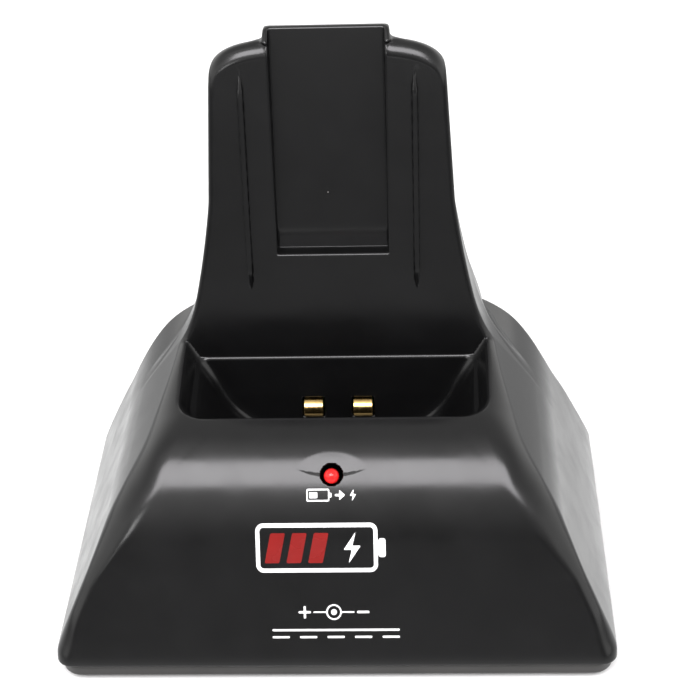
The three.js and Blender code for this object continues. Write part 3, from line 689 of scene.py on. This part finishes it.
def build_contact(name, x):
    """Gold leaf bent round a nose, with shoulders behind the pocket's wall."""
    centre = POCKET_BACK - CONTACT_PROUD + CONTACT_RADIUS + SHIFT
    back = 12.2 + SHIFT
    arc = math.pi / 2 + np.linspace(0, math.pi, 25)
    rows = []
    for radius in (CONTACT_RADIUS, CONTACT_RADIUS - LEAF):
        y = np.concatenate([[back], centre + radius * np.cos(arc), [back]])
        z = CONTACT_Z + np.concatenate([[radius], radius * np.sin(arc), [-radius]])
        rows.append(np.stack([y, z], 1))
    count = len(rows[0])
    points, faces = [], []
    for side in (-0.5, 0.5):
        for row in rows:
            points += [(x + side * CONTACT_WIDTH, y, z) for y, z in row]
    for i in range(count - 1):
        a, b, c, d = (k * count + i for k in range(4))
        faces += [(a, a + 1, c + 1, c), (b, d, d + 1, b + 1), (a, b, b + 1, a + 1), (c, c + 1, d + 1, d)]
    for i in (0, count - 1):
        a, b, c, d = (k * count + i for k in range(4))
        faces.append((a, c, d, b))
    return loose_object(name, points, faces, 0.07)


# ---------------------------------------------------------------- printed signs
def face_y(x, z):
    """Depth of the front's outer surface at points given across and up."""
    low, high = np.full(len(x), -40.0 + SHIFT), np.full(len(x), -16.0 + SHIFT)
    for _ in range(26):
        middle = (low + high) / 2
        outside = outer_field(x, middle - SHIFT, z) > 0
        low, high = np.where(outside, middle, low), np.where(outside, high, middle)
    return high


def printed(name, shape, low, high, step=0.16):
    """Thin printed mark on the front: the inside of a flat outline, laid on the surface."""
    us = np.arange(low[0] - step, high[0] + 2 * step, step)
    vs = np.arange(low[1] - step, high[1] + 2 * step, step)
    value = shape(us[:, None], vs[None, :])
    flat, faces = [], []
    for i in range(len(us) - 1):
        for j in range(len(vs) - 1):
            corners = ((i, j), (i + 1, j), (i + 1, j + 1), (i, j + 1))
            worth = [value[c] for c in corners]
            if min(worth) >= 0:
                continue
            outline = []
            for k in range(4):
                a, b = corners[k], corners[(k + 1) % 4]
                pa, pb = np.array((us[a[0]], vs[a[1]])), np.array((us[b[0]], vs[b[1]]))
                va, vb = worth[k], worth[(k + 1) % 4]
                if va < 0:
                    outline.append(pa)
                if (va < 0) != (vb < 0):
                    outline.append(pa + (pb - pa) * va / (va - vb))
            faces.append(range(len(flat), len(flat) + len(outline)))
            flat += outline
    flat = np.array(flat)
    points = np.stack([flat[:, 0], face_y(flat[:, 0], flat[:, 1]), flat[:, 1]], 1).astype(np.float32)
    slope = gradient(housing_field, points, 0.06)
    slope /= np.linalg.norm(slope, axis=1)[:, None]
    points = points + 0.03 * slope
    mesh = bpy.data.meshes.new(name)
    mesh.from_pydata((points * MM).tolist(), [], [list(f) for f in faces])
    mesh.shade_smooth()
    mesh.normals_split_custom_set_from_vertices(slope.astype(float).tolist())
    mesh.update()
    piece = bpy.data.objects.new(name, mesh)
    bpy.context.scene.collection.objects.link(piece)
    return piece


CHARGE_ROW, BATTERY_ROW, POLARITY_ROW = 35.0, 26.2, 14.5
SOLID_ROW, DASH_ROW = 11.2, 9.9
SIGN_CENTRE = 0.3


def rect(u, v, cu, cv, half_u, half_v, radius=0.1):
    return rounded_rect_field(u - cu, v - cv, half_u, half_v, radius)


def frame_of(shape, line):
    """Outline of a shape, drawn inside it."""
    return np.maximum(shape, -shape - line)


def polygon(u, v, corners):
    """Signed distance to a polygon, negative inside."""
    corners = np.array(corners, float)
    best, inside = 1e9, False
    for a, b in zip(corners, np.roll(corners, -1, 0)):
        d = b - a
        t = np.clip(((u - a[0]) * d[0] + (v - a[1]) * d[1]) / (d @ d), 0, 1)
        best = np.minimum(best, np.hypot(u - a[0] - t * d[0], v - a[1] - t * d[1]))
        if a[1] != b[1]:
            inside = inside ^ (((a[1] > v) != (b[1] > v)) & (u < d[0] * (v - a[1]) / d[1] + a[0]))
    return np.where(inside, -best, best)


def bolt(u, v, cu, cv, size):
    """Lightning bolt."""
    corners = ((0.25, 1), (-0.55, -0.12), (-0.02, -0.12), (-0.25, -1), (0.55, 0.14), (0.02, 0.14))
    return polygon((u - cu) / size, (v - cv) / size, corners) * size


def charge_sign(u, v):
    """Small sign under the lamp: a part-filled battery, an arrow and a bolt."""
    row = CHARGE_ROW
    battery = np.minimum(frame_of(rect(u, v, -2.5, row, 2.1, 0.95, 0.25), 0.24),
                         rect(u, v, -0.22, row, 0.22, 0.36, 0.05))
    level = rect(u, v, -3.35, row, 0.75, 0.45)
    head = polygon(u, v, ((1.4, row + 0.8), (2.5, row), (1.4, row - 0.8)))
    arrow = np.minimum(rect(u, v, 1.1, row, 0.5, 0.18, 0.05), head)
    return np.minimum(np.minimum(battery, level), np.minimum(arrow, bolt(u, v, 3.9, row, 1.1)))


def battery_outline(u, v):
    case = frame_of(rect(u, v, -2.9, BATTERY_ROW, 11.2, 4.4, 1.4), 0.75)
    return np.minimum(case, rect(u, v, 9.1, BATTERY_ROW, 0.65, 1.7, 0.4))


def battery_bars(u, v):
    lean = u - 0.22 * (v - BATTERY_ROW)
    bars = [rect(lean, v, at, BATTERY_ROW, 1.35, 2.7, 0.25) for at in (-10.6, -6.6, -2.6)]
    return np.minimum(np.minimum(bars[0], bars[1]), bars[2])


def battery_bolt(u, v):
    return bolt(u, v, 3.6, BATTERY_ROW, 2.9)


def polarity_sign(u, v):
    """Plus, centre contact and minus, joined by a line."""
    row = POLARITY_ROW
    ring = frame_of(np.hypot(u, v - row) - 1.45, 0.3)
    dot = np.hypot(u, v - row) - 0.55
    plus = np.minimum(rect(u, v, -5.4, row, 1.15, 0.22), rect(u, v, -5.4, row, 0.22, 1.15))
    minus = rect(u, v, 5.4, row, 1.15, 0.22)
    lines = np.minimum(rect(u, v, -2.6, row, 1.2, 0.14, 0.05), rect(u, v, 2.6, row, 1.2, 0.14, 0.05))
    return np.minimum(np.minimum(ring, dot), np.minimum(np.minimum(plus, minus), lines))


def direct_sign(u, v):
    """Solid line over a dashed one."""
    solid = rect(u, v, SIGN_CENTRE, SOLID_ROW, 11.8, 0.2)
    dashes = [rect(u, v, SIGN_CENTRE + at, DASH_ROW, 1.6, 0.2) for at in (-10.2, -5.1, 0.0, 5.1, 10.2)]
    for dash in dashes:
        solid = np.minimum(solid, dash)
    return solid


# ---------------------------------------------------------------- camera and studio
CAMERA_TURN, CAMERA_HEIGHT, CAMERA_ROLL = 2.84, 33.75, 2.22
CAMERA_TARGET = (3.17, SHIFT, 50.2)
CAMERA_DISTANCE = 351
CAMERA_LENS, CAMERA_SENSOR = 95.45, 36
BACKDROP, CEILING, ROOM, GLOW = 1.45, 0.65, 0.05, 1.0
RANGE_SOCKETS = ("From Min", "From Max", "To Min", "To Max")
LIGHTS = (("overhead", (0, -0.632, 0.915), (0, 0, 0.04), (1.1, 0.56), 15.5, (0.99, 0.97, 1.0)),
          ("left_window", (-0.34, -0.76, 0.29), (0, 0, 0.03), (0.16, 0.13), 0.45, (1, 1, 1)))
# painted reflection: the glow the floor shows to glossy rays, which the object mirrors, by distance towards
# the camera in metres
FLOOR_NEAR = 1.2
PAINTED_FLOOR_REFLECTION = ((-1.2, 1.1), (-0.75, 1.0), (-0.52, 0.36), (-0.3, 0.32), (-0.2, 0.34), (-0.14, 0.42),
              (-0.09, 0.66), (-0.055, 0.72), (0.0, 1.35))


def place_camera():
    """Camera at the photograph's viewing angle."""
    camera = bpy.data.objects.new("camera", bpy.data.cameras.new("camera"))
    bpy.context.scene.collection.objects.link(camera)
    bpy.context.scene.camera = camera
    azimuth, elevation, roll = (math.radians(a) for a in (CAMERA_TURN, CAMERA_HEIGHT, CAMERA_ROLL))
    forward = Vector((-math.sin(azimuth) * math.cos(elevation), math.cos(azimuth) * math.cos(elevation),
                      -math.sin(elevation)))
    right = Vector((math.cos(azimuth), math.sin(azimuth), 0))
    up = right.cross(forward)
    right, up = right * math.cos(roll) - up * math.sin(roll), right * math.sin(roll) + up * math.cos(roll)
    target = Vector(CAMERA_TARGET) * MM
    place = Matrix((right, up, -forward)).transposed().to_4x4()
    place.translation = target - forward * CAMERA_DISTANCE * MM
    camera.matrix_world = place
    camera.data.sensor_width = CAMERA_SENSOR
    camera.data.lens = CAMERA_LENS
    camera.data.clip_start = 0.01


def area_light(name, place, target, size, power, colour):
    light = bpy.data.lights.new(name, "AREA")
    light.shape = "RECTANGLE"
    light.size, light.size_y = size
    light.energy = power
    light.color = colour
    lamp = bpy.data.objects.new(name, light)
    bpy.context.scene.collection.objects.link(lamp)
    lamp.location = place
    lamp.rotation_euler = (Vector(target) - Vector(place)).to_track_quat("-Z", "Y").to_euler()


def build_world():
    """White all round, with the room on the camera's side dimmer above the table."""
    world = bpy.data.worlds.new("studio")
    bpy.context.scene.world = world
    world.use_nodes = True
    tree = world.node_tree
    back = tree.nodes["Background"]
    link = tree.links.new

    def math_node(kind, a, b=None, c=None, clamp=False):
        node = tree.nodes.new("ShaderNodeMath")
        node.operation = kind
        node.use_clamp = clamp
        for socket, value in zip(node.inputs, (a, b, c)):
            if isinstance(value, bpy.types.NodeSocket):
                link(value, socket)
            elif value is not None:
                socket.default_value = value
        return node.outputs[0]

    def ramp(value, low, high, out_low, out_high, kind="SMOOTHSTEP"):
        node = tree.nodes.new("ShaderNodeMapRange")
        node.interpolation_type = kind
        link(value, node.inputs["Value"])
        for key, number in zip(RANGE_SOCKETS, (low, high, out_low, out_high)):
            node.inputs[key].default_value = number
        return node.outputs["Result"]

    sky = tree.nodes.new("ShaderNodeTexCoord").outputs["Generated"]
    parts = tree.nodes.new("ShaderNodeSeparateXYZ")
    link(sky, parts.inputs[0])
    side = math_node("ABSOLUTE", parts.outputs[0])
    behind = ramp(parts.outputs[1], -0.25, 0.25, 0.0, 1.0)
    beside = ramp(side, 0.45, 0.8, 0.0, 1.0)
    white = math_node("MAXIMUM", behind, beside)
    low = ramp(parts.outputs[2], 0.25, 0.75, BACKDROP - CEILING, 0.0)
    wall = math_node("ADD", low, CEILING)
    rise = ramp(parts.outputs[2], 0.0, 0.62, ROOM, GLOW, "LINEAR")
    across = ramp(parts.outputs[0], -0.14, 0.14, 1.45, 0.85)
    room = math_node("MULTIPLY", rise, across)
    front = math_node("SUBTRACT", wall, room)
    strength = math_node("MULTIPLY_ADD", white, front, room)
    ray = tree.nodes.new("ShaderNodeLightPath").outputs["Is Camera Ray"]
    keep = math_node("SUBTRACT", 1.0, ray)
    strength = math_node("MULTIPLY_ADD", strength, keep, ray)
    link(strength, back.inputs["Strength"])
    back.inputs["Color"].default_value = (1.0, 0.995, 0.985, 1)


def build_studio():
    scene = bpy.context.scene
    scene.view_settings.view_transform = "Standard"
    scene.view_settings.look = "None"
    build_world()
    for light in LIGHTS:
        area_light(*light)
    bm = bmesh.new()
    bmesh.ops.create_grid(bm, x_segments=8, y_segments=8, size=5)
    mesh = bpy.data.meshes.new("floor")
    bm.to_mesh(mesh)
    floor = bpy.data.objects.new("floor", mesh)
    scene.collection.objects.link(floor)
    floor.data.materials.append(floor_material())


# ---------------------------------------------------------------- materials
class Nodes:
    """Small helper that adds linked shader nodes to a material."""

    def __init__(self, name):
        self.material = bpy.data.materials.new(name)
        self.material.use_nodes = True
        self.tree = self.material.node_tree
        self.shader = self.tree.nodes["Principled BSDF"]

    def add(self, kind, **sockets):
        node = self.tree.nodes.new("ShaderNode" + kind)
        for key, value in sockets.items():
            self.set(node, key, value)
        return node

    def set(self, node, key, value):
        socket = node.inputs[int(key[1:])] if key[0] == "i" and key[1:].isdigit() else node.inputs[key]
        if isinstance(value, bpy.types.NodeSocket):
            self.tree.links.new(value, socket)
        else:
            socket.default_value = value

    def math(self, operation, a, b=0.0):
        node = self.add("Math", i0=a, i1=b)
        node.operation = operation
        return node.outputs[0]

    def noise(self, scale, detail=3.0, rough=0.5, vector=None):
        node = self.add("TexNoise", Scale=scale, Detail=detail, Roughness=rough)
        self.tree.links.new(vector or self.place(), node.inputs["Vector"])
        return node.outputs["Fac"]

    def place(self):
        if not hasattr(self, "_place"):
            self._place = self.add("TexCoord").outputs["Object"]
        return self._place

    def span(self, value, low, high, out_low, out_high):
        node = self.add("MapRange", Value=value)
        for key, number in zip(RANGE_SOCKETS, (low, high, out_low, out_high)):
            node.inputs[key].default_value = number
        return node.outputs["Result"]

    def blend(self, factor, a, b):
        node = self.add("Mix")
        node.data_type = "RGBA"
        self.set(node, "i0", factor)
        for at, value in ((6, a), (7, b)):
            self.set(node, f"i{at}", value)
        return node.outputs[2]

    def bump(self, height, strength, distance):
        node = self.add("Bump", Height=height, Strength=strength, Distance=distance)
        return node.outputs["Normal"]


def floor_material():
    """White paper, lit to a full white for the camera; to glossy rays it is a glowing emission instead, a
    painted reflection that dims with distance where the object mirrors it.
    """
    n = Nodes("floor_paper_painted_reflection")
    tint = n.blend(n.span(n.noise(3.0), 0.3, 0.7, 0, 1), (0.9, 0.9, 0.895, 1), (0.92, 0.92, 0.915, 1))
    n.set(n.shader, "Base Color", tint)
    n.shader.inputs["Roughness"].default_value = 0.95
    n.shader.inputs["Specular IOR Level"].default_value = 0.1
    parts = n.add("SeparateXYZ")
    n.set(parts, "i0", n.place())
    curve = n.add("ValToRGB", Fac=n.span(parts.outputs["Y"], -FLOOR_NEAR, 0.0, 0, 1))
    elements = curve.color_ramp.elements
    for at, (place, level) in enumerate(PAINTED_FLOOR_REFLECTION):
        position = 1 + place / FLOOR_NEAR
        element = elements[0] if at == 0 else elements[-1] if place == 0 else elements.new(position)
        element.color = (level, level, level, 1)
    behind = n.math("MAXIMUM", parts.outputs["Y"], 0.0)
    squares = [n.math("POWER", part, 2.0) for part in (parts.outputs["X"], behind)]
    reach = n.math("SQRT", n.math("ADD", *squares))
    painted_reflection_fade = n.span(reach, 0.075, 0.16, 1, 0.5)
    # painted reflection: an emission that only glossy rays see, dimmer away from the object
    mirrored = n.add("Emission", Color=curve.outputs["Color"], Strength=painted_reflection_fade)
    ray = n.add("LightPath")
    mix = n.add("MixShader")
    n.set(mix, "i0", ray.outputs["Is Glossy Ray"])
    n.set(mix, "i1", n.shader.outputs[0])
    n.set(mix, "i2", mirrored.outputs[0])
    n.tree.links.new(mix.outputs[0], n.tree.nodes["Material Output"].inputs["Surface"])
    return n.material


def plastic(name, colour, roughness, grain=0.35, dust=0.0, grain_size=5200.0):
    """Moulded plastic: faint colour drift, satin patches, fine eroded texture and a little dust."""
    n = Nodes(name)
    dark = tuple(c * 0.85 for c in colour) + (1,)
    light = tuple(c * 1.15 for c in colour) + (1,)
    base = n.blend(n.span(n.noise(60.0, 4.0, 0.6), 0.35, 0.65, 0, 1), dark, light)
    if dust:
        cells = n.add("TexVoronoi", Scale=95.0)
        n.tree.links.new(n.place(), cells.inputs["Vector"])
        dot = n.span(cells.outputs["Distance"], 0.009, 0.02, 1, 0)
        pick = n.add("SeparateColor", Color=cells.outputs["Color"])
        some = n.span(pick.outputs[0], 0.8, 0.85, 0, dust)
        base = n.blend(n.math("MULTIPLY", dot, some), base, (0.4, 0.39, 0.37, 1))
    n.set(n.shader, "Base Color", base)
    satin = n.span(n.noise(140.0, 3.0, 0.55), 0.3, 0.7, roughness - 0.04, roughness + 0.05)
    n.set(n.shader, "Roughness", satin)
    n.set(n.shader, "Normal", n.bump(n.noise(grain_size, 2.0, 0.5), grain, 0.00002))
    return n.material


def metal(name, colour, roughness, grain=0.15, scale=900.0):
    """Metal with faint clouding, uneven polish and a fine grain."""
    n = Nodes(name)
    cloud = n.noise(scale / 4, 3.0)
    dark = tuple(c * 0.8 for c in colour) + (1,)
    n.set(n.shader, "Base Color", n.blend(n.span(cloud, 0.35, 0.65, 0, 1), dark, colour + (1,)))
    n.shader.inputs["Metallic"].default_value = 1.0
    n.set(n.shader, "Roughness", n.span(n.noise(scale), 0.3, 0.7, roughness * 0.75, roughness * 1.3))
    n.set(n.shader, "Normal", n.bump(n.noise(scale * 3), grain, 0.00002))
    return n.material


def build_materials():
    return {
        "case_plastic": plastic("case_plastic", (0.0045, 0.0045, 0.0047), 0.2, 0.2, 0.7),
        "cover_plastic": plastic("cover_plastic", (0.03, 0.029, 0.028), 0.42, 0.4),
        "rubber": plastic("rubber", (0.018, 0.018, 0.019), 0.8, 0.8),
        "screw_steel": metal("screw_steel", (0.55, 0.56, 0.57), 0.32),
        "gold_contact": metal("gold_contact", (0.9, 0.62, 0.24), 0.2, 0.1, 1500.0),
        "led_red": plastic("led_red", (0.62, 0.012, 0.012), 0.12, 0.02),
        "tinned_metal": metal("tinned_metal", (0.68, 0.68, 0.68), 0.28),
        "circuit_board": plastic("circuit_board", (0.012, 0.11, 0.04), 0.35, 0.2),
        "black_component": plastic("black_component", (0.012, 0.012, 0.013), 0.42, 0.5),
        "capacitor_sleeve": plastic("capacitor_sleeve", (0.015, 0.03, 0.1), 0.3, 0.1),
        "resistor_body": plastic("resistor_body", (0.5, 0.36, 0.2), 0.4, 0.2),
        "nylon": plastic("nylon", (0.72, 0.69, 0.6), 0.45, 0.2),
        "wire_red": plastic("wire_red", (0.4, 0.012, 0.012), 0.4, 0.1),
        "wire_black": plastic("wire_black", (0.012, 0.012, 0.013), 0.4, 0.1),
        "ink_white": plastic("ink_white", (0.8, 0.8, 0.8), 0.45, 0.2),
        "ink_red": plastic("ink_red", (0.2, 0.007, 0.006), 0.25, 0.2),
    }


# ---------------------------------------------------------------- build
place_camera()
build_studio()
FINISH = build_materials()
SLOTS = {row["node"]: row["material_slot"] for row in frame["record"]["subparts"]}


def finish_piece(piece, finish, body, *nodes):
    piece.data.materials.clear()
    piece.data.materials.append(FINISH[finish])
    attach(piece, body)
    if nodes:
        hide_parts(*nodes)
    return piece


fine_x = [(0, 2.6, 0.26), (9.9, 12.4, 0.3), (15.2, 16.8, 0.2), (21, 31, 0.38)]
fine_y = [(-25.2, -18.4, 0.3), (8, 18.6, 0.36)]
fine_z = [(SHELL_BASE - 0.4, 5.4, 0.25), (35.2, 40.8, 0.3), (44, 47, 0.36), (63, 65, 0.3),
          (99, 107.6, 0.33)]
housing = field_object("housing", housing_field, mirror_ticks(53.4, 0.5, fine_x),
                       ticks(-36.9, 36.9, 0.5, fine_y), ticks(3.6, 108.0, 0.5, fine_z))
finish_piece(housing, "case_plastic", ROOT, "upper_housing")

cover = field_object("cover", cover_field, mirror_ticks(53.4, 0.5), ticks(-36.9, 36.9, 0.5),
                     ticks(0.3, 8.4, 0.26))
finish_piece(cover, "cover_plastic", ROOT, "bottom_cover")

sole = field_object("foot_pattern", foot_field, mirror_ticks(4.8, 0.22), mirror_ticks(4.8, 0.22),
                    ticks(-0.3, 2.5, 0.14))
fixing = field_object("screw_pattern", screw_field, mirror_ticks(3.2, 0.11), mirror_ticks(3.2, 0.11),
                      ticks(1.0, 16.6, 0.16, [(1.0, 3.4, 0.1)]))
for pattern, kind, at_x, at_y, finish in ((sole, "rubber_foot", FOOT_X, FOOT_Y, "rubber"),
                                          (fixing, "case_screw", POST_X, POST_Y, "screw_steel")):
    for corner, side, row in (("front_left", -1, 0), ("front_right", 1, 0), ("rear_left", -1, 1),
                              ("rear_right", 1, 1)):
        mesh = pattern.data.copy()
        mesh.transform(Matrix.Translation(Vector((side * at_x, at_y[row] + SHIFT, 0)) * MM))
        piece = bpy.data.objects.new(f"{kind}_{corner}_fine", mesh)
        bpy.context.scene.collection.objects.link(piece)
        finish_piece(piece, finish, ROOT, f"{kind}_{corner}")
    bpy.data.objects.remove(pattern)

finish_piece(build_lamp(), "led_red", ROOT, "indicator_led")
for side_name, side in (("left", -1), ("right", 1)):
    leaf = build_contact(f"leaf_{side_name}", side * CONTACT_X)
    finish_piece(leaf, "gold_contact", f"{side_name}_contact", f"contact_{side_name}")

SIGNS = (("sign_charge", charge_sign, (-5, 33.8), (4.8, 36.2), "ink_white"),
         ("sign_battery", battery_outline, (-14.6, 21.2), (10.2, 31.0), "ink_white"),
         ("sign_bars", battery_bars, (-13.2, 22.8), (0.8, 29.4), "ink_red"),
         ("sign_bolt", battery_bolt, (0.4, 22.8), (6.8, 29.6), "ink_white"),
         ("sign_polarity", polarity_sign, (-6.8, 12.8), (6.8, 16.2), "ink_white"),
         ("sign_direct", direct_sign, (-11.8, 9.4), (12.4, 11.7), "ink_white"))
for name, shape, low, high, finish in SIGNS:
    finish_piece(printed(name, shape, low, high), finish, ROOT)

for node, slot_name in SLOTS.items():
    cad = bpy.data.objects.get(node)
    if cad is None or node == "upper_housing":
        continue
    for entry in cad.material_slots:
        entry.material = FINISH[slot_name]
